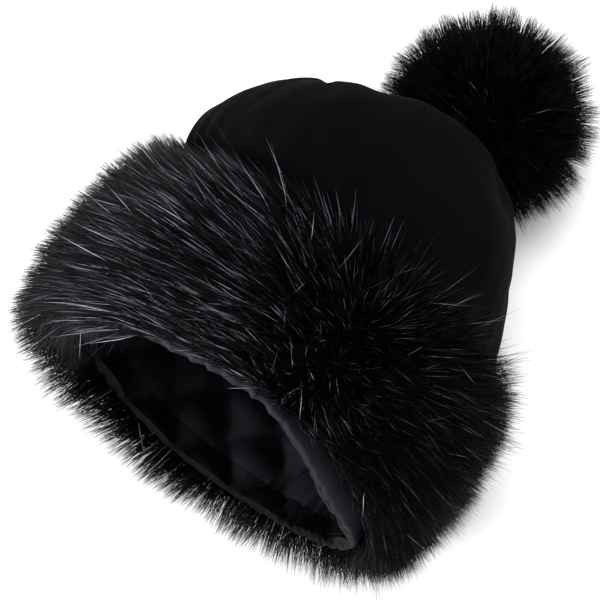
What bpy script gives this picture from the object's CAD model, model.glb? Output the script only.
"""The looks of a black winter hat with a fur cuff and a pompom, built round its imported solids.

Each piece is shaped on the hat as it stands on its rim, with +Z through the crown and -Y on the
side that will face up. Its crown is then bent down and the hat is laid on its side, as the solids
are. All lengths are in metres, unless a name says otherwise. Round the hat's axis, 270 degrees is
the side that will face up, and 180 degrees is the left.
"""

import math
from collections import namedtuple

import bmesh
import bpy
import numpy as np
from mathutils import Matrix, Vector, kdtree, noise


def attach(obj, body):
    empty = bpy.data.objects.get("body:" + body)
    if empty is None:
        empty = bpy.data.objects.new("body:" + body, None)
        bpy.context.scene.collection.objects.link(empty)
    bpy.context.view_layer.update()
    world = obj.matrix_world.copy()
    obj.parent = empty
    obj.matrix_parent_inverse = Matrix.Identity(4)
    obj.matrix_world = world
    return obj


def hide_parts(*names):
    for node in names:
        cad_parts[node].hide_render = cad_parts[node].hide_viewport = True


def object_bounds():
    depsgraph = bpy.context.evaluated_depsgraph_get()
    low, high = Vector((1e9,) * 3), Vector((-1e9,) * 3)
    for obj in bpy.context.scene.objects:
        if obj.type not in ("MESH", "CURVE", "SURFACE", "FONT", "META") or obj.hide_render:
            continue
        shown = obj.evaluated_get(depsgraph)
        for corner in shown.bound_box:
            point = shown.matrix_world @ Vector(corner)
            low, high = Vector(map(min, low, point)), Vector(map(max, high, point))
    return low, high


bl_info = {
    "name": "Fur hat",
    "version": (1, 0, 0),
    "blender": (4, 5, 0),
    "location": "3D View > Sidebar > Fur hat",
    "description": "Makes the velvet, fur, quilted satin and studio of a laid winter hat",
    "category": "Object",
}

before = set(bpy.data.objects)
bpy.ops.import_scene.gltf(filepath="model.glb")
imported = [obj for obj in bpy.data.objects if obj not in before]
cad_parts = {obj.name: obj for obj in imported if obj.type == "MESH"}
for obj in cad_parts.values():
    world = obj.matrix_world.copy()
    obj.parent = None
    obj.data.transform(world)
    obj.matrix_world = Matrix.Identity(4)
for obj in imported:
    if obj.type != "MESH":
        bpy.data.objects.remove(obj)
CAD_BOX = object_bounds()

# The way the hat lies, and how far its pieces and its hairs stay over the floor
RIM_CENTRE = (0.0022, -0.1426, 0.1178)
TILT = math.radians(8)
DROOP = math.radians(19.35)
PIECE_OVER_FLOOR = 0.0006
HAIR_OVER_FLOOR = 0.0004

# The layers of cloth round the opening
OPENING_RADIUS = 0.093
LAID_SHARE = 0.94
NECK_RADIUS = 0.1008
CUFF_INNER = 0.1012
CROWN_RADIUS = 0.1093
VELVET = 0.0020
SATIN = 0.0012
LINING_BEHIND = 0.0032
STITCH_DEPTH = LINING_BEHIND + SATIN + 0.0012

# Heights along the hat's axis
HEM_WIDTH = 0.0170
LINING_EDGE = 0.0150
SATIN_EDGE = 0.0020
CUFF_HEIGHT = 0.110
DOME_HEIGHT = 0.109
CROWN_HEIGHT = CUFF_HEIGHT + DOME_HEIGHT

# The gores of the crown, and the first line of the quilting
GORES = 6
SEAM_ANGLE = math.radians(221)
QUILT_START = math.radians(206)

# Rows of vertices up the satin, in the hem and above it, and columns for each quilted diamond
HEM_ROWS = 6
LINING_ROWS = 26
DIAMOND_COLUMNS = 24

# A sharp tuck across the upper left outline of the crown, on the laid hat: its centre, the ways
# across it, along its pull and over the crown, and its reach in each
TUCK_CENTRE = (-0.0670, 0.0580, 0.1333)
TUCK_WAYS = ((0.804, 0.595, 0.0), (-0.586, 0.792, 0.174), (0.103, -0.140, 0.985))
TUCK_REACH = (0.0020, 0.011, 0.030)

# Bumps round the hat. Size is in whatever they are added to.
Hill = namedtuple("Hill", "size angle_deg spread_deg")

# The hem's slant, and how much lower the cloth hangs at the rim
HEM_SLANT = math.radians(2.8)
RIM_DROPS = (
    Hill(0.0045, 325, 28),
    Hill(-0.0085, 282, 27),
    Hill(0.0045, 112, 42),
)

# Where the hem's puckers are out of sight, and where the lining is gathered in pleats
HEM_HIDDEN = (Hill(1.0, 95, 60),)
LINING_GATHERED = (Hill(1.0, 38, 22),)

# The rolled edge of the hem: distance inside NECK_RADIUS, and height
ROLLED_EDGE = ((0.0012, 0.0006), (0.0030, 0.0), (0.0050, 0.0006))
HEM_FLANGE = 0.0024
HEM_FACE_STEP = 0.0015

# The fur cuff's depth over its backing, and how far its lower edge stands back from the rim
CUFF_DEPTH = 0.0245
EDGE_RISE = 0.0100
EDGE_RISE_ANGLE = math.radians(345)
EDGE_RISES = (
    Hill(0.0060, 278, 26),
    Hill(-0.0050, 338, 20),
)

# The pompom: its centre is on the crown's axis, past the top
POMPOM_SEAT = CROWN_HEIGHT + 0.0032
POMPOM_CENTRE = (0.0100, 0, POMPOM_SEAT + 0.041)

# Sections of the crown above the cuff. Height is a share of DOME_HEIGHT, and radius and shift of
# CROWN_RADIUS. Under is how much of the depth is left on the side that hangs over the floor.
Section = namedtuple("Section", "height radius shift under")
CROWN_SECTIONS = (
    Section(0.055, 0.965, -0.020, 0.97),
    Section(0.125, 1.000, -0.055, 0.93),
    Section(0.255, 0.995, -0.085, 0.90),
    Section(0.385, 0.958, -0.090, 0.88),
    Section(0.505, 0.900, -0.085, 0.88),
    Section(0.615, 0.825, -0.075, 0.90),
    Section(0.716, 0.742, -0.055, 0.92),
    Section(0.803, 0.645, -0.023, 0.94),
    Section(0.881, 0.535, 0.020, 0.96),
    Section(0.940, 0.410, 0.060, 0.98),
    Section(0.980, 0.270, 0.095, 1.00),
    Section(1.000, 0.120, 0.115, 1.00),
    Section(1.003, 0.000, 0.115, 1.00),
)
BEND_FROM = CUFF_HEIGHT + CROWN_SECTIONS[1].height * DOME_HEIGHT

# Dents in the soft crown. Height and its spread are shares of DOME_HEIGHT, and depth is a share of
# CROWN_RADIUS.
Dent = namedtuple("Dent", "angle_deg height depth spread_deg spread")
CROWN_DENTS = (
    Dent(221, 0.695, 0.055, 3, 0.045),
    Dent(237, 0.790, 0.055, 13, 0.085),
    Dent(286, 0.50, 0.035, 18, 0.160),
    Dent(318, 0.76, 0.040, 12, 0.120),
    Dent(352, 0.45, 0.030, 11, 0.160),
    Dent(60, 0.35, 0.040, 20, 0.130),
    Dent(118, 0.40, 0.035, 18, 0.130),
)

# The velvet's soft folds, wide and small, and its pleats just above the cuff
WIDE_FOLD = 0.030
SMALL_FOLD = 0.013
CROWN_PLEATS = 34

# The band under the fur, from its lower inner edge round to its upper edge. Height is a share of
# CUFF_HEIGHT and out of CUFF_DEPTH. Lean is how far its hairs lean to the crown.
BandRow = namedtuple("BandRow", "height out lean_deg")
CUFF_BAND = (
    BandRow(0.010, 0.06, -72),
    BandRow(-0.012, 0.30, -58),
    BandRow(0.020, 0.52, -42),
    BandRow(0.110, 0.66, -26),
    BandRow(0.230, 0.70, -14),
    BandRow(0.360, 0.71, -6),
    BandRow(0.490, 0.69, 2),
    BandRow(0.620, 0.62, 11),
    BandRow(0.745, 0.50, 21),
    BandRow(0.860, 0.33, 33),
    BandRow(0.940, 0.12, 46),
)

# Where the cuff's hairs grow: denser on the side that faces up, and a little inside the band
UPPER_SHARE = 0.68
UPPER_SIDE = (math.radians(165), math.radians(375))
LOWER_SIDE = (math.radians(15), math.radians(165))
ROOT_SHARE = 0.80

# How the cuff's hairs lean. On the near side they don't hang lower than the shown leans.
LEFT_LEAN = math.radians(20)
UPPER_LEAN = math.radians(16)
NEAR_FROM_DEG, NEAR_TO_DEG = 226, 356
SHOWN_ANGLES_DEG = (226, 262, 300, 340)
SHOWN_LEANS_DEG = (-34, -16, -18, -34)

# Some of the lowest hairs are tucked in under the rim.
TUCKED_SHARE = 0.10
TUCKED = (Hill(1.0, 186, 30),)
TUCKED_LEAN = math.radians(-138)

# How far the cuff's hairs are combed round the hat, and what is added to their usual length,
# light and width
COMB = (
    Hill(-1.6, 238, 36),
    Hill(0.35, 322, 22),
    Hill(0.35, 125, 32),
)
LONGER_HAIR = (
    Hill(-0.14, 0, 30),
    Hill(0.10, 200, 22),
)
LIGHTER_HAIR = (
    Hill(0.07, 240, 30),
    Hill(-0.07, 190, 22),
)
WIDER_HAIR = (Hill(0.40, 95, 48),)

# Rings of corners on each hair under its tip, and how much of its width it loses up to there
HAIR_RINGS = 2
HAIR_TAPER = 0.75

# Close hairs are alike in shade, in groups of about this many. Strays are lighter.
HAIRS_ALIKE = 4
ALIKE_SHARE = 0.16
STRAY_LIGHT = 0.13

# How far a hair may reach past the solids' box on each side
HAIR_ROOM = (0.0165, 0.0180, 0.0150)

# The studio's lights. Right, up and over are metres from what the camera looks at.
Softbox = namedtuple("Softbox", "name right up over size")
KEY_LIGHT = Softbox("key_softbox", -1.2, -0.45, 0.40, 0.4)
TOP_LIGHT = Softbox("top_softbox", 0.2, 0.6, 1.9, 1.2)


def hex_colour(text):
    """An sRGB hex colour as a linear one, with alpha."""
    parts = [int(text[i:i + 2], 16) / 255 for i in (1, 3, 5)]
    return [c / 12.92 if c <= 0.04045 else ((c + 0.055) / 1.055) ** 2.4 for c in parts] + [1.0]


def set_all(target, **settings):
    for name, value in settings.items():
        setattr(target, name, value)


def add_node(tree, kind, inputs=None, **settings):
    """Adds a node. Its inputs are set to numbers and colours, or linked where a socket is given."""
    made = tree.nodes.new(kind)
    set_all(made, **settings)
    for name, value in (inputs or {}).items():
        if isinstance(value, bpy.types.NodeSocket):
            tree.links.new(value, made.inputs[name])
        else:
            made.inputs[name].default_value = value
    return made


def new_material(name, surface):
    """A material with one Principled shader, set to these values, and its tree."""
    material = bpy.data.materials.new(name)
    material.use_nodes = True
    tree = material.node_tree
    shader = tree.nodes["Principled BSDF"]
    for socket, value in surface.items():
        shader.inputs[socket].default_value = value
    return material, tree, shader


def smooth_step(share):
    share = np.clip(share, 0, 1)
    return share * share * (3 - 2 * share)


def hill(angle, centre, spread):
    """1 at the centre of a bump round the ring, and near 0 past twice its spread."""
    away = np.remainder(angle - centre + math.pi, 2 * math.pi) - math.pi
    return np.exp(-(away / spread) ** 2)


def with_hills(value, angle, hills):
    """The value at each angle, with bumps added to it."""
    for size, angle_deg, spread_deg in hills:
        value = value + size * hill(angle, math.radians(angle_deg), math.radians(spread_deg))
    return value


def ring(radius, angle, height):
    """Points round the standing hat's axis."""
    x, y = radius * np.cos(angle), radius * np.sin(angle) * LAID_SHARE
    return np.stack([x, y, height + 0 * angle], axis=-1)


def angle_of(points):
    return np.arctan2(points[:, 1], points[:, 0])


def radius_of(points):
    return np.hypot(points[:, 0], points[:, 1])


def column_of(angle, columns):
    return np.rint(angle / (2 * math.pi) * columns).astype(int) % columns


def bent(points):
    """Bends what lies above BEND_FROM down in an arc, and on straight past the top of the crown."""
    x, y, z = points[..., 0], points[..., 1], points[..., 2]
    length = CROWN_HEIGHT - BEND_FROM
    radius = length / DROOP
    turn = DROOP * np.clip((z - BEND_FROM) / length, 0, 1)
    past = np.maximum(z - CROWN_HEIGHT, 0)
    arm = radius - y
    above = z > BEND_FROM
    bent_y = np.where(above, radius - arm * np.cos(turn) + past * np.sin(turn), y)
    bent_z = np.where(above, BEND_FROM + arm * np.sin(turn) + past * np.cos(turn), z)
    return np.stack([x, bent_y, bent_z], axis=-1)


def laid(points):
    """The standing hat's points, as they lie with the hat on its side."""
    cos, sin = math.cos(-math.pi / 2 - TILT), math.sin(-math.pi / 2 - TILT)
    x, y, z = points[..., 0], points[..., 1], points[..., 2]
    return np.stack([x, y * cos - z * sin, y * sin + z * cos], axis=-1) + np.array(RIM_CENTRE)


def on_floor(points, clearance):
    """The laid points, or the floor straight above those that would sink in."""
    lifted = points.copy()
    lifted[..., 2] = np.maximum(lifted[..., 2], clearance)
    return lifted


def rim_drop(angle, height):
    """How much lower the cloth hangs at the rim: it slants to +X, swags and is drawn up."""
    slant = math.tan(HEM_SLANT) * OPENING_RADIUS * np.cos(angle)
    swag = with_hills(0.0, angle, RIM_DROPS)
    return (slant + swag) * (1 - smooth_step(height / CUFF_HEIGHT))


def band_rise(angle, share):
    """How much the cuff's lower edge stands back from the rim, fading up the cuff."""
    back = EDGE_RISE * (0.5 + 0.5 * np.cos(angle - EDGE_RISE_ANGLE))
    return with_hills(back, angle, EDGE_RISES) * (1 - share)


def smooth_rows(table, steps):
    """The columns of a table, read along a smooth curve with some steps between its rows."""
    rows = np.array(table, float)
    padded = np.vstack([2 * rows[0] - rows[1], rows, 2 * rows[-1] - rows[-2]])
    found = []
    for i in range(len(rows) - 1):
        before, start, end, after = padded[i:i + 4]
        for step in range(steps):
            t = step / steps
            found.append(
                0.5 * (2 * start + (end - before) * t
                       + (2 * before - 5 * start + 4 * end - after) * t * t
                       + (3 * start - before - 3 * end + after) * t ** 3)
            )
    found.append(rows[-1])
    return np.array(found)


def field(points, size, seed):
    """Smooth noise from -1 to 1 at each point, with bumps of about this size."""
    offset = Vector((seed, seed * 1.7, seed * 0.6))
    return np.array([noise.noise(Vector(p) / size + offset) for p in points])


def swirls(points, size, seeds):
    """A direction at each point that turns smoothly over about this size."""
    return np.stack([field(points, size, seed) for seed in seeds], axis=-1)


def spun(profile, steps, closed=False):
    """A bmesh: a profile of (radius, height) turned round the axis, with its poles merged."""
    bm = bmesh.new()
    verts = [bm.verts.new((radius, 0, height)) for radius, height in profile]
    pairs = list(zip(verts, verts[1:])) + ([(verts[-1], verts[0])] if closed else [])
    edges = [bm.edges.new(pair) for pair in pairs]
    bmesh.ops.spin(
        bm,
        geom=verts + edges,
        cent=(0, 0, 0),
        axis=(0, 0, 1),
        angle=2 * math.pi,
        steps=steps,
        use_merge=True,
    )
    bmesh.ops.remove_doubles(bm, verts=bm.verts, dist=1e-6)
    bmesh.ops.recalc_face_normals(bm, faces=bm.faces)
    return bm


def places(bm):
    return np.array([vert.co for vert in bm.verts])


def normals(bm):
    bm.normal_update()
    return np.array([vert.normal for vert in bm.verts])


def move(bm, points):
    for vert, point in zip(bm.verts, points):
        vert.co = point


def new_object(name, mesh, material):
    """A smooth-shaded piece that rides with the hat."""
    mesh.shade_smooth()
    mesh.materials.append(material)
    piece = bpy.data.objects.new(name, mesh)
    bpy.context.scene.collection.objects.link(piece)
    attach(piece, "root")
    return piece


def from_bmesh(name, bm, material):
    mesh = bpy.data.meshes.new(name)
    bm.to_mesh(mesh)
    bm.free()
    return new_object(name, mesh, material)


def modifier(piece, kind, **settings):
    made = piece.modifiers.new(kind.lower(), kind)
    set_all(made, **settings)
    return made


# Cloth of the crown, the lining and the hem

def crown_columns(steps):
    """(height, radius, shift, under) up the crown, in metres."""
    rows = smooth_rows(CROWN_SECTIONS, steps)
    rows[:, 0] = CUFF_HEIGHT + rows[:, 0] * DOME_HEIGHT
    rows[:, 1:3] *= CROWN_RADIUS
    rows[:, 1] = np.maximum(rows[:, 1], 0)
    return rows


def crown_shell(tube_heights, steps, columns_round):
    """The crown's plain outer surface, and the angle and height of each vertex."""
    columns = crown_columns(steps)
    tube = [(NECK_RADIUS, z) for z in tube_heights]
    bm = spun(tube + [(row[1], row[0]) for row in columns], columns_round)
    points = places(bm)
    angle = angle_of(points)
    height = points[:, 2]
    shift = np.interp(height, columns[:, 0], columns[:, 2], left=0.0)
    under = np.interp(height, columns[:, 0], columns[:, 3], left=1.0)
    points[:, 1] *= LAID_SHARE * np.where(points[:, 1] > 0, under, 1.0)
    points[:, 0] += shift
    move(bm, points)
    return bm, angle, height.copy()


def seam_groove(angle, height, depth, sharpness):
    """Depth of the sewn seams between the gores, which fade out above the cuff and at the top."""
    groove = 1 - np.abs(np.sin((angle - SEAM_ANGLE) * GORES / 2)) ** sharpness
    share = (height - CUFF_HEIGHT) / DOME_HEIGHT
    return depth * groove * smooth_step(share / 0.15) * smooth_step((0.98 - share) / 0.2)


def dent_depth(angle, height):
    total = np.zeros(len(angle))
    for dent in CROWN_DENTS:
        along = ((height - CUFF_HEIGHT) / DOME_HEIGHT - dent.height) / dent.spread
        around = hill(angle, math.radians(dent.angle_deg), math.radians(dent.spread_deg))
        total += dent.depth * CROWN_RADIUS * around * np.exp(-along * along)
    return total


def fold_rise(points, angle, share, props):
    """How far the velvet's folds stand out, and its pleats, which are just above the cuff."""
    wide = field(points * [1, 1, 0.6], WIDE_FOLD, 2.0)
    small = field(points * [1, 1, 0.7], SMALL_FOLD, 6.0)
    wander = 2.5 * field(points, 0.05, 4.0)
    pleats = np.cos(CROWN_PLEATS * angle + wander) * hill(share, 0.10, 0.16)
    folds = (wide + 0.5 * small) * smooth_step(share / 0.1) + 0.5 * pleats
    return props.fold_height * folds * smooth_step((share + 0.02) / 0.05)


def tuck(points, props):
    """A sharp tuck over the upper left edge of the crown, where a seam pulls it in."""
    across, pull, over = np.array(TUCK_WAYS)
    across_reach, pull_reach, over_reach = TUCK_REACH
    away = points - np.array(TUCK_CENTRE)
    depth = np.exp(-np.abs(away @ across) / across_reach)
    depth = depth * np.exp(-((away @ pull) / pull_reach) ** 2)
    depth = depth * np.exp(-((away @ over) / over_reach) ** 2)
    return -props.pinch_depth * depth[:, None] * pull


def lining_depth(angle, height, props):
    """How far the satin lies inside the crown: puffs between stitches, and pleats near the hem."""
    turn = (angle - QUILT_START) / (2 * math.pi) * props.quilt_columns
    along = height / props.quilt_height
    first = np.abs(np.sin(math.pi * (turn + along)))
    second = np.abs(np.sin(math.pi * (turn - along)))
    full = (first * second) ** 0.6
    near_hem = 1 - smooth_step((height - 0.018) / 0.030)
    gathered = with_hills(0.0, angle, LINING_GATHERED) * near_hem
    wander = 1.2 * np.sin(5 * angle + 40 * height) + 0.8 * np.sin(11 * angle)
    pleat = props.pleat_depth * gathered * np.cos(props.pleats * angle + wander)
    return STITCH_DEPTH + props.puff * full * (1 - 0.5 * gathered) + pleat


def puckers(angle, props):
    """How far the puckers stand out that the elastic draws round the hem."""
    around = ring(0.09, angle, 0 * angle)
    drift = field(around, 0.030, 3.0) * 3.2 + field(around, 0.012, 7.0) * 1.4
    strength = 0.7 + 0.6 * field(around, 0.035, 11.0)
    small = 0.35 * np.cos(2.3 * props.gathers * angle + 2 * drift)
    return props.gather_depth * strength * (np.cos(props.gathers * angle + drift) + small)


def swelled(bm, pinned, pressure):
    """A sheet's points after its cloth has swelled between its pinned stitches."""
    frames, most, least = 20, 0.0045, -0.0003
    mesh = bpy.data.meshes.new("swelling")
    bm.to_mesh(mesh)
    sheet = bpy.data.objects.new("swelling", mesh)
    scene = bpy.context.scene
    scene.collection.objects.link(sheet)
    stitches = sheet.vertex_groups.new(name="stitches")
    stitches.add([int(i) for i in np.flatnonzero(pinned)], 1.0, "REPLACE")
    cloth = modifier(sheet, "CLOTH")
    set_all(
        cloth.settings, quality=6, mass=0.15, tension_stiffness=15, compression_stiffness=10,
        shear_stiffness=5, bending_stiffness=0.2, use_pressure=True,
        uniform_pressure_force=pressure, vertex_group_mass="stitches", shrink_min=-0.10,
    )
    cloth.settings.effector_weights.gravity = 0
    cloth.collision_settings.use_collision = False
    for step in range(1, frames + 1):
        scene.frame_set(step)
    found = sheet.evaluated_get(bpy.context.evaluated_depsgraph_get()).to_mesh()
    moved = np.empty(len(found.vertices) * 3)
    found.vertices.foreach_get("co", moved)
    bpy.data.objects.remove(sheet)
    bpy.data.meshes.remove(mesh)
    scene.frame_set(1)
    start, facing = places(bm), normals(bm)
    path = moved.reshape(-1, 3) - start
    length = np.linalg.norm(path, axis=1, keepdims=True)
    path = path * np.minimum(1, most / np.maximum(length, 1e-9))
    sunk = np.minimum(0, (path * facing).sum(axis=1, keepdims=True) - least)
    return start + path - sunk * facing


# Materials

def object_place(tree):
    return add_node(tree, "ShaderNodeTexCoord").outputs["Object"]


def bump_from(tree, shader, height, strength, distance):
    """Links a pattern's height to the shader as relief."""
    bump = add_node(tree, "ShaderNodeBump", {
        "Height": height.outputs["Fac"], "Strength": strength, "Distance": distance,
    })
    tree.links.new(bump.outputs["Normal"], shader.inputs["Normal"])


def colour_between(tree, shader, share, first, second):
    """Links a mix of two colours to the shader's base colour."""
    mixed = add_node(tree, "ShaderNodeMix", {
        "Factor": share.outputs["Fac"], "A": first, "B": second,
    }, data_type="RGBA")
    tree.links.new(mixed.outputs["Result"], shader.inputs["Base Color"])


def velvet_material(props):
    """Cut polyester velvet: its upright pile drinks the light, and only glows at grazing angles."""
    material, tree, shader = new_material("black_cut_velvet", {
        "Roughness": 0.95, "Specular IOR Level": 0.03, "Sheen Weight": 0.024,
        "Sheen Roughness": 0.28, "Sheen Tint": hex_colour("#6a6c80"),
    })
    place = object_place(tree)
    # The pile is brushed one way or the other in patches of about 22 mm.
    stroke = add_node(tree, "ShaderNodeTexNoise", {
        "Vector": place, "Scale": 1 / 0.022, "Detail": 3.0,
    })
    dark, light = hex_colour(props.velvet_dark), hex_colour(props.velvet_light)
    colour_between(tree, shader, stroke, dark, light)
    # Real tufts of pile are about 0.3 mm apart, and are drawn at 0.9 mm so that they show.
    pile = add_node(tree, "ShaderNodeTexNoise", {
        "Vector": place, "Scale": 1 / 0.0009, "Detail": 2.0,
    })
    bump_from(tree, shader, pile, 0.35, 0.0004)
    return material


def satin_material(name, dark, light, surface=None):
    """Polyester satin: long floats of thread give it a soft sheen across the puffs and puckers."""
    material, tree, shader = new_material(name, {
        "Roughness": 0.50, "Specular IOR Level": 0.04, "Sheen Weight": 0.02,
        "Sheen Roughness": 0.4, **(surface or {}),
    })
    place = object_place(tree)
    # The dye is a little uneven, in clouds of about 33 mm.
    cloud = add_node(tree, "ShaderNodeTexNoise", {
        "Vector": place, "Scale": 1 / 0.033, "Detail": 4.0,
    })
    colour_between(tree, shader, cloud, hex_colour(dark), hex_colour(light))
    # Real threads are about 0.1 mm apart, and are drawn at 0.5 mm so that they show.
    thread = 0.0005
    weave = add_node(tree, "ShaderNodeTexWave", {
        "Vector": place, "Scale": 0.5 / thread, "Distortion": 1.5, "Detail": 1.0,
        "Detail Scale": 3.0,
    }, bands_direction="DIAGONAL")
    bump_from(tree, shader, weave, 0.12, thread / 4)
    return material


def hem_material(props):
    """The hem's own violet-grey satin where it shows, and its dark turned-in side elsewhere."""
    material = satin_material("gathered_polyester_satin", props.hem_dark, props.hem_light, {
        "Sheen Weight": 0.0, "Specular IOR Level": 0.015,
    })
    tree = material.node_tree
    shader = tree.nodes["Principled BSDF"]
    own = shader.inputs["Base Color"].links[0].from_socket
    outer = add_node(tree, "ShaderNodeAttribute", attribute_name="outer")
    colour_between(tree, shader, outer, hex_colour(props.hem_turned), own)
    return material


def fur_material(name, props):
    """Acrylic faux fur: smooth black fibres. The few pale ones catch the light as lines."""
    material, tree, shader = new_material(name, {
        "Roughness": props.hair_roughness, "Specular IOR Level": props.hair_gloss,
    })
    strand = add_node(tree, "ShaderNodeAttribute", attribute_name="strand")
    ramp = add_node(tree, "ShaderNodeValToRGB", {"Fac": strand.outputs["Fac"]})
    shades = ramp.color_ramp.elements
    shades[0].color = hex_colour(props.hair_dark)
    shades[1].color = hex_colour(props.hair_bright)
    shades.new(0.74).color = hex_colour(props.hair_dark)
    shades.new(0.83).color = hex_colour(props.hair_usual)
    shades.new(0.90).color = hex_colour(props.hair_light)
    tree.links.new(ramp.outputs["Color"], shader.inputs["Base Color"])
    return material


def pile_material(name):
    """The knitted backing and short underfur, seen only as darkness between the hairs."""
    material, tree, shader = new_material(name, {
        "Base Color": hex_colour("#060607"), "Roughness": 1.0, "Specular IOR Level": 0.05,
    })
    # Underfur stands in tufts about 3 mm apart.
    tufts = add_node(tree, "ShaderNodeTexNoise", {
        "Vector": object_place(tree), "Scale": 1 / 0.003, "Detail": 4.0,
    })
    bump_from(tree, shader, tufts, 1.0, 0.002)
    return material


def button_material():
    """Moulded nylon: even and slightly glossy, with a fine mould grain."""
    material, tree, shader = new_material("moulded_black_nylon", {
        "Base Color": hex_colour("#1c1c1e"), "Roughness": 0.45,
    })
    # A real mould's grain is about 0.1 mm, and is drawn at 0.6 mm so that it shows.
    grain = add_node(tree, "ShaderNodeTexNoise", {
        "Vector": object_place(tree), "Scale": 1 / 0.0006,
    })
    bump_from(tree, shader, grain, 0.1, 0.0001)
    return material


# Fur

def unit(vectors):
    return vectors / np.maximum(np.linalg.norm(vectors, axis=-1, keepdims=True), 1e-12)


def nearest_leader(roots, leaders):
    tree = kdtree.KDTree(len(leaders))
    for i, leader in enumerate(leaders):
        tree.insert(roots[leader], i)
    tree.balance()
    return leaders[[tree.find(root)[1] for root in roots]]


def hair_paths(roots, aims, bends, lengths, hairs_per_tuft, tufting, rng):
    """Points along each hair, from root to tip. Hairs lean to the nearest leader, into tufts."""
    share = np.linspace(0, 1, HAIR_RINGS + 1)[None, :, None]
    reach = lengths[:, None, None]
    paths = roots[:, None] + reach * (aims[:, None] * share + bends[:, None] * share ** 2)
    leaders = rng.choice(len(roots), max(1, len(roots) // hairs_per_tuft), replace=False)
    chosen = nearest_leader(roots, leaders)
    pull = (tufting * rng.uniform(0.45, 1.15, len(roots)))[:, None, None] * share ** 1.4
    return paths + (paths[chosen] - paths) * np.clip(pull, 0, 0.93)


def kept_near(paths, rng):
    """The laid hairs, with those that would reach out of their room made shorter."""
    low, high = (np.array(corner) for corner in CAD_BOX)
    root, reach = paths[:, :1], paths - paths[:, :1]
    share = np.ones(len(paths))
    for axis, room in enumerate(HAIR_ROOM):
        free = np.where(reach[..., axis] > 0, high[axis] + room - root[..., axis],
                        root[..., axis] - low[axis] + room)
        need = np.abs(reach[..., axis]) / np.maximum(free, 1e-6)
        share = np.minimum(share, 1 / np.maximum(need.max(axis=1), 1e-6))
    share = np.where(share < 1, share * rng.uniform(0.80, 1.0, len(paths)), 1.0)
    return root + reach * share[:, None, None]


def hair_shades(roots, scale, stray, rng):
    """Shades from 0 to 1. Close hairs are alike, so that light lines stand beside dark gaps."""
    leaders = rng.choice(len(roots), len(roots) // HAIRS_ALIKE, replace=False)
    close = rng.random(len(roots))[nearest_leader(roots, leaders)]
    own = rng.random(len(roots)) * scale * (1 - ALIKE_SHARE + ALIKE_SHARE * close)
    return np.clip(own + STRAY_LIGHT * stray, 0, 1)


def hair_mesh(name, paths, width, shade, rng):
    """Closed three-sided spikes along the paths, as one mesh with a shade for each hair."""
    hairs = len(paths)
    body = paths[:, :HAIR_RINGS]
    along = unit(paths[:, 1:] - body)
    side = unit(np.cross(along, unit(rng.normal(size=(hairs, 1, 3)))))
    across = np.cross(along, side)
    taper = (1 - (np.arange(HAIR_RINGS) / HAIR_RINGS) ** 2 * HAIR_TAPER)[None, :, None]
    radius = width[:, None, None] / 2 * taper
    corners = [
        body + radius * (side * math.cos(turn) + across * math.sin(turn))
        for turn in (0, 2 * math.pi / 3, 4 * math.pi / 3)
    ]
    rings = np.stack(corners, axis=2).reshape(hairs, HAIR_RINGS * 3, 3)
    verts = np.concatenate([rings, paths[:, -1:]], axis=1)
    per_hair = HAIR_RINGS * 3 + 1
    quads = [
        (3 * i + k, 3 * i + (k + 1) % 3, 3 * i + 3 + (k + 1) % 3, 3 * i + 3 + k)
        for i in range(HAIR_RINGS - 1) for k in range(3)
    ]
    last = 3 * (HAIR_RINGS - 1)
    tips = [(last + k, last + (k + 1) % 3, per_hair - 1) for k in range(3)]
    faces = quads + tips + [(2, 1, 0)]
    loops = np.concatenate(faces)
    starts = np.concatenate([[0], np.cumsum([len(face) for face in faces])[:-1]])
    all_loops = (loops[None] + per_hair * np.arange(hairs)[:, None]).ravel()
    all_starts = (starts[None] + len(loops) * np.arange(hairs)[:, None]).ravel()
    mesh = bpy.data.meshes.new(name)
    mesh.vertices.add(hairs * per_hair)
    mesh.vertices.foreach_set("co", on_floor(verts, HAIR_OVER_FLOOR).ravel())
    mesh.loops.add(len(all_loops))
    mesh.loops.foreach_set("vertex_index", all_loops.astype(np.int32))
    mesh.polygons.add(len(all_starts))
    mesh.polygons.foreach_set("loop_start", all_starts.astype(np.int32))
    mesh.update(calc_edges=True)
    strand = mesh.attributes.new("strand", "FLOAT", "POINT")
    strand.data.foreach_set("value", np.repeat(shade, per_hair).astype(np.float32))
    return mesh


def cuff_roots(count, rng):
    """Angle, share of the way up the band, lean and place of hairs on the band, standing."""
    rows = smooth_rows(CUFF_BAND, 6)
    upper = rng.random(count) < UPPER_SHARE
    angle = np.where(upper, rng.uniform(*UPPER_SIDE, count), rng.uniform(*LOWER_SIDE, count))
    step = np.hypot(np.diff(rows[:, 0]) * CUFF_HEIGHT, np.diff(rows[:, 1]) * CUFF_DEPTH)
    way = np.concatenate([[0], np.cumsum(step)]) / step.sum()
    share = rng.random(count)
    height, out, lean = (np.interp(share, way, rows[:, i]) for i in range(3))
    rise = band_rise(angle, height)
    radius = CUFF_INNER + out * CUFF_DEPTH * ROOT_SHARE
    return angle, share, np.radians(lean), ring(radius, angle, height * CUFF_HEIGHT + rise)


def cuff_lean(angle, share, lean, left, near, low):
    """How far each hair leans to the crown. Below 0 it hangs over the rim."""
    shown = np.radians(np.interp(np.degrees(angle), SHOWN_ANGLES_DEG, SHOWN_LEANS_DEG))
    lean = lean - LEFT_LEAN * left * (1 - 0.5 * share)
    lean = lean + near * np.maximum(0, shown - lean) * (0.6 + 0.4 * low)
    return lean - UPPER_LEAN * near * left * smooth_step((share - 0.65) / 0.3)


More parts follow.
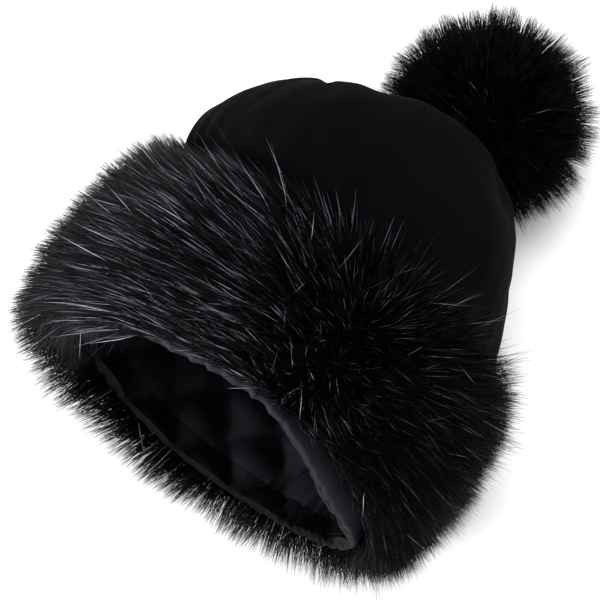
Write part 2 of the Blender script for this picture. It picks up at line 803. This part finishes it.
def cuff_hair(props, count, rng):
    """Hairs of the cuff: they fan out from the band, and on the upper left are combed to -X."""
    angle, share, lean, roots = cuff_roots(count, rng)
    left = 0.5 - 0.5 * np.cos(angle)
    turn = np.degrees(angle)
    near = smooth_step((turn - NEAR_FROM_DEG) / 30) * smooth_step((NEAR_TO_DEG - turn) / 24)
    low = smooth_step(1 - share / 0.38)
    lean = cuff_lean(angle, share, lean, left, near, low)
    tucked = (share < TUCKED_SHARE) & (rng.random(count) < with_hills(0.0, angle, TUCKED))
    lean = np.where(tucked, TUCKED_LEAN + 0.25 * rng.standard_normal(count), lean)

    # Aims: neat where the fur is combed to the left, and wilder on the right
    radial = unit(ring(1.0, angle, 0.0 * angle))
    tangent = np.stack([-np.sin(angle), np.cos(angle), 0 * angle], axis=-1)
    axis = np.array([0, 0, 1.0])
    comb = with_hills(0.0, angle, COMB)[:, None]
    aims = unit(radial * np.cos(lean)[:, None] + axis * np.sin(lean)[:, None] + tangent * comb)
    swirl = swirls(roots, 0.030, (1.0, 5.0, 9.0)) * (0.16 + 0.24 * (1 - left))[:, None]
    wild = (0.055 + 0.22 * (1 - left) ** 1.5)[:, None]
    aims = aims + swirl + rng.normal(size=aims.shape) * wild
    stray = rng.random(count) < props.stray_share
    aims = unit(np.where(stray[:, None], aims + rng.normal(size=aims.shape) * 0.35, aims))
    down = np.array([0, math.cos(TILT), math.sin(TILT)])
    bends = down * 0.16 + tangent * (comb * 0.12) + rng.normal(size=aims.shape) * 0.05

    # Lengths: uneven in clumps, shorter over the rim on the near side, and longer for strays
    uneven = 0.14 * field(roots, 0.045, 3.0) + 0.13 * rng.standard_normal(count)
    lengths = props.hair_length * (1 + uneven)
    lengths *= 1 - 0.36 * near * low
    lengths *= with_hills(1.0, angle, LONGER_HAIR)
    lengths *= np.where(stray, 1.18, 1.0) * np.where(tucked, 0.72, 1.0)
    lengths = np.clip(lengths, 0.3 * props.hair_length, 1.35 * props.hair_length)
    lengths = np.where(stray & (share > 0.72), 1.30 * lengths, lengths)
    loose = 1 - 0.45 * smooth_step((share - 0.55) / 0.3) * near
    tufting = props.tufting * loose * np.where(stray, 0.2, 1.0)
    paths = hair_paths(roots, aims, bends, lengths, props.hairs_per_tuft, tufting, rng)

    shade = hair_shades(roots, with_hills(0.91 + 0.06 * left, angle, LIGHTER_HAIR), stray, rng)
    width = props.hair_width * rng.uniform(0.72, 1.20, count) * np.where(stray, 0.9, 1.0)
    width = width * with_hills(1.0, angle, WIDER_HAIR)
    return kept_near(laid(bent(paths)), rng), width, shade


def pompom_hair(props, count, rng):
    """Hairs of the pompom: tufts all round a ball, which its seat and the floor flatten."""
    aims = unit(rng.normal(size=(count, 3)))
    roots = np.array(POMPOM_CENTRE) + aims * props.pompom_core
    lumps = field(aims, 0.55, 2.0)
    swirl = swirls(aims, 0.45, (4.0, 8.0, 12.0))
    turned = unit(aims + swirl * 0.28 + rng.normal(size=aims.shape) * 0.12)
    usual = props.pompom_radius - props.pompom_core
    lengths = usual * (1 + 0.10 * lumps + 0.09 * rng.standard_normal(count))
    stray = rng.random(count) < props.stray_share
    lengths *= np.where(stray, 1.10, 1.0)
    bends = rng.normal(size=aims.shape) * 0.06
    tuft, tufting = props.pompom_tuft, props.pompom_tufting
    paths = hair_paths(roots, turned, bends, lengths, tuft, tufting, rng)
    paths[..., 2] = np.maximum(paths[..., 2], POMPOM_SEAT - 0.004)
    shade = hair_shades(roots, 0.83, stray, rng)
    width = props.hair_width * rng.uniform(0.75, 1.25, count)
    return kept_near(laid(bent(paths)), rng), width, shade


# Sizes and colours that a user may change

def number_prop(name, description, default, **kind):
    return bpy.props.FloatProperty(name=name, description=description, default=default, **kind)


def length_prop(name, description, default):
    return number_prop(name, description, default, unit="LENGTH")


def count_prop(name, description, default):
    return bpy.props.IntProperty(name=name, description=description, default=default)


def colour_prop(name, description, default):
    described = description + ", as an sRGB hex colour"
    return bpy.props.StringProperty(name=name, description=described, default=default)


class HatClothSettings(bpy.types.PropertyGroup):
    """Sizes and colours of the crown, the lining and the hem"""
    seam_depth: length_prop("Seam depth", "How deep the seams of the crown pull in", 0.0024)
    fold_height: length_prop("Fold height", "How high the soft folds of the velvet stand", 0.0016)
    pinch_depth: length_prop(
        "Pinch depth", "How deep the tuck at the crown's upper left edge is", 0.0045)
    quilt_height: length_prop("Quilt height", "Length of one quilted diamond along the hat", 0.046)
    quilt_columns: count_prop("Quilt columns", "Quilted diamonds round the hat", 14)
    puff: length_prop("Puff", "How far the wadding swells the satin between the stitches", 0.0058)
    wadding_pressure: number_prop(
        "Wadding pressure", "How hard the wadding swells the satin as it settles", 14.0)
    pleats: count_prop(
        "Pleats", "Pleats that there would be all round, where the lining is gathered", 84)
    pleat_depth: length_prop("Pleat depth", "How deep the pleats of the lining are", 0.0030)
    gathers: count_prop("Gathers", "Main puckers round the elastic hem", 44)
    gather_depth: length_prop("Gather depth", "How deep the puckers of the hem are", 0.0013)
    velvet_dark: colour_prop("Velvet dark", "Velvet with its pile upright", "#030305")
    velvet_light: colour_prop("Velvet light", "Velvet with its pile brushed over", "#060608")
    lining_dark: colour_prop("Lining dark", "Satin of the lining where its dye is dark", "#0c0c0f")
    lining_light: colour_prop(
        "Lining light", "Satin of the lining where its dye is light", "#14141a")
    hem_turned: colour_prop("Hem turned", "Satin of the hem's inner side", "#070709")
    hem_dark: colour_prop("Hem dark", "Satin of the hem where its dye is dark", "#25242c")
    hem_light: colour_prop("Hem light", "Satin of the hem where its dye is light", "#312f38")


class HatFurSettings(bpy.types.PropertyGroup):
    """Sizes and colours of the fur on the cuff and the pompom"""
    hair_length: length_prop("Hair length", "Usual length of the cuff's hairs", 0.031)
    hair_width: length_prop("Hair width", "Width of a hair, drawn coarse enough to show", 0.00044)
    cuff_hairs: count_prop("Cuff hairs", "Hairs in each part of the cuff's fur", 19000)
    cuff_parts: count_prop("Cuff parts", "How many parts the cuff's fur is made in", 3)
    hairs_per_tuft: count_prop("Hairs per tuft", "Hairs that draw together in the cuff", 14)
    tufting: number_prop("Tufting", "How much the cuff's hairs draw together", 0.45)
    stray_share: number_prop(
        "Stray share", "Share of the hairs that stand out from the rest", 0.035)
    pompom_hairs: count_prop("Pompom hairs", "Hairs of the pompom", 17000)
    pompom_core: length_prop("Pompom core", "Radius of the ball that its hairs grow from", 0.036)
    pompom_radius: length_prop("Pompom radius", "Radius of the pompom to its usual tips", 0.0685)
    pompom_tuft: count_prop("Pompom tuft", "Hairs that draw together in the pompom", 24)
    pompom_tufting: number_prop("Pompom tufting", "How much the pompom's hairs draw together", 0.68)
    hair_dark: colour_prop("Hair dark", "The darkest hairs, which most are", "#030304")
    hair_usual: colour_prop("Hair usual", "Hairs between dark and light", "#2c2c34")
    hair_light: colour_prop("Hair light", "Light hairs", "#666672")
    hair_bright: colour_prop("Hair bright", "The palest hairs", "#a8a8b6")
    hair_roughness: number_prop("Hair roughness", "How blurred the glint along a hair is", 0.36)
    hair_gloss: number_prop("Hair gloss", "Strength of the glint along a hair", 0.035)


class HatStudioSettings(bpy.types.PropertyGroup):
    """The camera, the lights and the floor"""
    lens_mm: number_prop("Lens", "Focal length of the camera, in millimetres", 171.0)
    distance: length_prop("Distance", "From the camera to what it looks at", 1.6)
    azimuth: number_prop(
        "Azimuth", "Where the camera stands round the hat", math.radians(36.5), subtype="ANGLE")
    elevation: number_prop(
        "Elevation", "How high the camera stands over the floor", math.radians(80), subtype="ANGLE")
    right_of_rim: length_prop(
        "Right of rim", "How far right of the rim's centre the camera looks", 0.0475)
    above_rim: length_prop(
        "Above rim", "How far above the rim's centre, in the picture, the camera looks", 0.0749)
    key_power: number_prop("Key power", "Light from the left of the picture, in watts", 29.0)
    top_power: number_prop("Top power", "Light from above, in watts", 38.0)
    ambient: number_prop("Ambient", "Light from all round", 0.80)
    floor_colour: colour_prop("Floor colour", "The studio floor", "#fafafa")


# Operators

class HAT_OT_crown(bpy.types.Operator):
    """The velvet crown: gores sewn to a dome, with soft folds"""
    bl_idname = "hat.crown"
    bl_label = "Velvet crown"

    def execute(self, context):
        props = context.scene.hat_cloth
        tube = np.linspace(HEM_WIDTH + 0.0004, CUFF_HEIGHT, 8)
        bm, angle, height = crown_shell(tube, 7, 240)
        points, outward = places(bm), normals(bm)
        share = (height - CUFF_HEIGHT) / DOME_HEIGHT
        depth = seam_groove(angle, height, props.seam_depth, 0.30) + dent_depth(angle, height)
        depth = depth - fold_rise(points, angle, share, props)
        points = points - outward * depth[:, None]
        points[:, 2] -= rim_drop(angle, height)
        points = laid(bent(points))
        move(bm, points + tuck(points, props))
        crown = from_bmesh("crown_velvet", bm, velvet_material(props))
        modifier(crown, "SOLIDIFY", thickness=VELVET, offset=-1, use_even_offset=False)
        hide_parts("crown")
        return {"FINISHED"}


class HAT_OT_lining(bpy.types.Operator):
    """The quilted satin, swelled by its wadding: the lining, and the hem's inner side"""
    bl_idname = "hat.lining"
    bl_label = "Lining and hem"

    def satin_sheet(self, props, columns):
        """The inner satin from the rim to the top, and each vertex's angle and height."""
        tube = np.concatenate([
            np.linspace(SATIN_EDGE, LINING_EDGE, HEM_ROWS),
            np.linspace(LINING_EDGE, CUFF_HEIGHT, LINING_ROWS)[1:],
        ])
        bm, angle, height = crown_shell(tube, 4, columns)
        outward = normals(bm)
        points = places(bm)
        depth = lining_depth(angle, height, props)
        grooves = seam_groove(angle, height, 0.0022, 0.45) + dent_depth(angle, height)
        points = points - outward * (grooves + depth)[:, None]
        points[:, 2] -= rim_drop(angle, height)
        move(bm, bent(points))
        bmesh.ops.reverse_faces(bm, faces=bm.faces)
        pinned = depth < STITCH_DEPTH + 0.20 * props.puff
        pinned = pinned | (height < SATIN_EDGE + 0.001)
        move(bm, swelled(bm, pinned, props.wadding_pressure))
        free = [vert for vert, held in zip(bm.verts, pinned) if not held]
        for _ in range(4):
            bmesh.ops.smooth_vert(
                bm, verts=free, factor=0.5, use_axis_x=True, use_axis_y=True, use_axis_z=True)
        move(bm, laid(places(bm)))
        return bm, angle, height

    def hem(self, props, rows, columns):
        """The hem as a closed band: the satin's lowest rows, the rolled rim and the outer face."""
        face = [HEM_WIDTH - 0.0002 - HEM_FACE_STEP * i for i in range(11)]
        inner_levels = np.linspace(SATIN_EDGE, LINING_EDGE, HEM_ROWS)
        profile = [(OPENING_RADIUS, level) for level in inner_levels]
        profile += [(NECK_RADIUS - HEM_FLANGE, level) for level in (LINING_EDGE - 0.0003, face[0])]
        profile += [(NECK_RADIUS, level) for level in face]
        profile += [(NECK_RADIUS - inside, level) for inside, level in ROLLED_EDGE]
        bm = spun(profile, columns, closed=True)
        points = places(bm)
        angle, radius = angle_of(points), radius_of(points)
        height = points[:, 2].copy()
        low = 1 - smooth_step(height / 0.010)
        hidden = with_hills(0.0, angle, HEM_HIDDEN)
        gather = puckers(angle, props) * (1 - 0.6 * hidden)
        outer = smooth_step((radius - NECK_RADIUS + 0.0035) / 0.0030)
        swell = 0.6 * gather * outer * (0.5 + 0.5 * low)
        points = ring(radius - 0.0004 + swell, angle, height)
        points[:, 2] -= rim_drop(angle, height) + 0.8 * gather * low
        points = laid(points)
        inner = radius < OPENING_RADIUS + 0.001
        level = (height - SATIN_EDGE) / (LINING_EDGE - SATIN_EDGE) * (HEM_ROWS - 1)
        row = np.clip(np.rint(level).astype(int), 0, HEM_ROWS - 1)
        points[inner] = rows[row[inner], column_of(angle, columns)[inner]]
        move(bm, points)
        bmesh.ops.recalc_face_normals(bm, faces=bm.faces)
        hem = from_bmesh("gathered_hem", bm, hem_material(props))
        hem.data.set_sharp_from_angle(angle=math.radians(55))
        shown = hem.data.attributes.new("outer", "FLOAT", "POINT")
        shown.data.foreach_set("value", (outer * (1 - 0.85 * hidden)).astype(np.float32))
        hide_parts("hem")

    def execute(self, context):
        props = context.scene.hat_cloth
        columns = props.quilt_columns * DIAMOND_COLUMNS
        bm, angle, height = self.satin_sheet(props, columns)
        points = places(bm)
        column = column_of(angle, columns)
        rows = np.zeros((HEM_ROWS, columns, 3))
        for row, level in zip(rows, np.linspace(SATIN_EDGE, LINING_EDGE, HEM_ROWS)):
            chosen = np.abs(height - level) < 1e-4
            row[column[chosen]] = points[chosen]
        rows[-1] += (rows[-2] - rows[-1]) * 0.05
        self.hem(props, rows, columns)
        low = [vert for vert, level in zip(bm.verts, height) if level < LINING_EDGE - 1e-4]
        bmesh.ops.delete(bm, geom=low, context="VERTS")
        for edge in bm.edges:
            edge.smooth = not edge.is_boundary
        satin = satin_material("quilted_polyester_satin", props.lining_dark, props.lining_light)
        lining = from_bmesh("quilted_lining", bm, satin)
        modifier(lining, "SOLIDIFY", thickness=SATIN, offset=-1, use_even_offset=False)
        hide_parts("lining")
        return {"FINISHED"}


class HAT_OT_cuff(bpy.types.Operator):
    """The fur cuff: its backing with short underfur, and the long hairs on it"""
    bl_idname = "hat.cuff"
    bl_label = "Fur cuff"

    def execute(self, context):
        props = context.scene.hat_fur
        profile = [
            (CUFF_INNER + out * CUFF_DEPTH, height * CUFF_HEIGHT)
            for height, out, _ in smooth_rows(CUFF_BAND, 3)
        ]
        profile += [(CUFF_INNER + 0.0004, share * CUFF_HEIGHT) for share in (0.92, 0.6, 0.3, 0.03)]
        bm = spun(profile, 180, closed=True)
        points = places(bm)
        angle, radius = angle_of(points), radius_of(points)
        rise = band_rise(angle, points[:, 2] / CUFF_HEIGHT)
        outside = (radius - CUFF_INNER) / CUFF_DEPTH > 0.1
        tufts = 0.0016 * field(points, 0.006, 1.0) * outside
        points = ring(radius + tufts, angle, points[:, 2] + rise)
        move(bm, on_floor(laid(points), PIECE_OVER_FLOOR))
        band = from_bmesh("cuff_underfur", bm, pile_material("black_knitted_pile"))
        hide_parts("fur_cuff")
        fur = fur_material("black_acrylic_fur", props)
        rng = np.random.default_rng(11)
        paths, width, shade = cuff_hair(props, props.cuff_hairs * props.cuff_parts, rng)
        for part in range(props.cuff_parts):
            chosen = slice(part * props.cuff_hairs, (part + 1) * props.cuff_hairs)
            name = f"cuff_fur_{part + 1}"
            mesh = hair_mesh(name, paths[chosen], width[chosen], shade[chosen], rng)
            new_object(name, mesh, fur)
        return {"FINISHED"}


class HAT_OT_pompom(bpy.types.Operator):
    """The pompom: a dark ball and the tufts on it"""
    bl_idname = "hat.pompom"
    bl_label = "Pompom"

    def execute(self, context):
        props = context.scene.hat_fur
        bm = bmesh.new()
        bmesh.ops.create_icosphere(bm, subdivisions=5, radius=props.pompom_core + 0.004)
        points = places(bm)
        points = points * (1 + 0.05 * field(points, 0.009, 2.0))[:, None]
        points = points + np.array(POMPOM_CENTRE)
        points[:, 2] = np.maximum(points[:, 2], POMPOM_SEAT)
        move(bm, on_floor(laid(bent(points)), PIECE_OVER_FLOOR))
        ball = from_bmesh("pompom_underfur", bm, pile_material("black_pompom_pile"))
        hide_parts("pompom")
        rng = np.random.default_rng(23)
        paths, width, shade = pompom_hair(props, props.pompom_hairs, rng)
        mesh = hair_mesh("pompom_tufts", paths, width, shade, rng)
        tufts = new_object("pompom_tufts", mesh, fur_material("black_pompom_fur", props))
        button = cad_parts["pompom_button"]
        button.data.materials.clear()
        button.data.materials.append(button_material())
        return {"FINISHED"}


class HAT_OT_studio(bpy.types.Operator):
    """The studio: a pale floor, soft lights and the camera"""
    bl_idname = "hat.studio"
    bl_label = "Studio"

    def floor(self, scene, props):
        bm = bmesh.new()
        bmesh.ops.create_grid(bm, x_segments=1, y_segments=1, size=4.0)
        mesh = bpy.data.meshes.new("studio_floor")
        bm.to_mesh(mesh)
        bm.free()
        paper, _, _ = new_material("matt_white_paper", {
            "Base Color": hex_colour(props.floor_colour), "Roughness": 0.9,
            "Specular IOR Level": 0.1,
        })
        mesh.materials.append(paper)
        floor = bpy.data.objects.new("studio_floor", mesh)
        scene.collection.objects.link(floor)

    def execute(self, context):
        props = context.scene.hat_studio
        scene = context.scene
        self.floor(scene, props)

        az, el = props.azimuth, props.elevation
        back = Vector((math.sin(az) * math.cos(el), -math.cos(az) * math.cos(el), math.sin(el)))
        right = Vector((math.cos(az), math.sin(az), 0))
        up = back.cross(right)
        aim = Vector(RIM_CENTRE) + right * props.right_of_rim + up * props.above_rim
        camera = bpy.data.cameras.new("studio_camera")
        camera.lens = props.lens_mm
        camera.sensor_width = 36.0
        seen = bpy.data.objects.new("studio_camera", camera)
        seen.location = aim + back * props.distance
        seen.rotation_euler = back.to_track_quat("Z", "Y").to_euler()
        scene.collection.objects.link(seen)
        scene.camera = seen

        for box, power in ((KEY_LIGHT, props.key_power), (TOP_LIGHT, props.top_power)):
            lamp = bpy.data.lights.new(box.name, "AREA")
            set_all(lamp, shape="DISK", size=box.size, energy=power)
            place = aim + right * box.right + up * box.up + Vector((0, 0, box.over))
            lit = bpy.data.objects.new(box.name, lamp)
            lit.location = place
            lit.rotation_euler = (aim - place).to_track_quat("-Z", "Y").to_euler()
            scene.collection.objects.link(lit)
        world = bpy.data.worlds.new("studio_air")
        world.use_nodes = True
        sky = world.node_tree.nodes["Background"]
        sky.inputs["Color"].default_value = (1, 1, 1, 1)
        sky.inputs["Strength"].default_value = props.ambient
        scene.world = world
        scene.view_settings.view_transform = "Standard"
        return {"FINISHED"}


class HAT_PT_panel(bpy.types.Panel):
    """Lists the hat's pieces and settings"""
    bl_idname = "HAT_PT_panel"
    bl_label = "Fur hat"
    bl_space_type = "VIEW_3D"
    bl_region_type = "UI"
    bl_category = "Fur hat"

    def draw(self, context):
        layout = self.layout
        for operator in OPERATORS:
            layout.operator(operator.bl_idname)
        scene = context.scene
        for settings in (scene.hat_cloth, scene.hat_fur, scene.hat_studio):
            box = layout.box()
            for name in settings.__annotations__:
                box.prop(settings, name)


OPERATORS = (HAT_OT_crown, HAT_OT_lining, HAT_OT_cuff, HAT_OT_pompom, HAT_OT_studio)
CLASSES = (HatClothSettings, HatFurSettings, HatStudioSettings, *OPERATORS, HAT_PT_panel)


def register():
    for cls in CLASSES:
        bpy.utils.register_class(cls)
    bpy.types.Scene.hat_cloth = bpy.props.PointerProperty(type=HatClothSettings)
    bpy.types.Scene.hat_fur = bpy.props.PointerProperty(type=HatFurSettings)
    bpy.types.Scene.hat_studio = bpy.props.PointerProperty(type=HatStudioSettings)


def unregister():
    del bpy.types.Scene.hat_cloth
    del bpy.types.Scene.hat_fur
    del bpy.types.Scene.hat_studio
    for cls in reversed(CLASSES):
        bpy.utils.unregister_class(cls)


def main():
    register()
    bpy.ops.hat.crown()
    bpy.ops.hat.lining()
    bpy.ops.hat.cuff()
    bpy.ops.hat.pompom()
    bpy.ops.hat.studio()


if __name__ == "__main__":
    main()
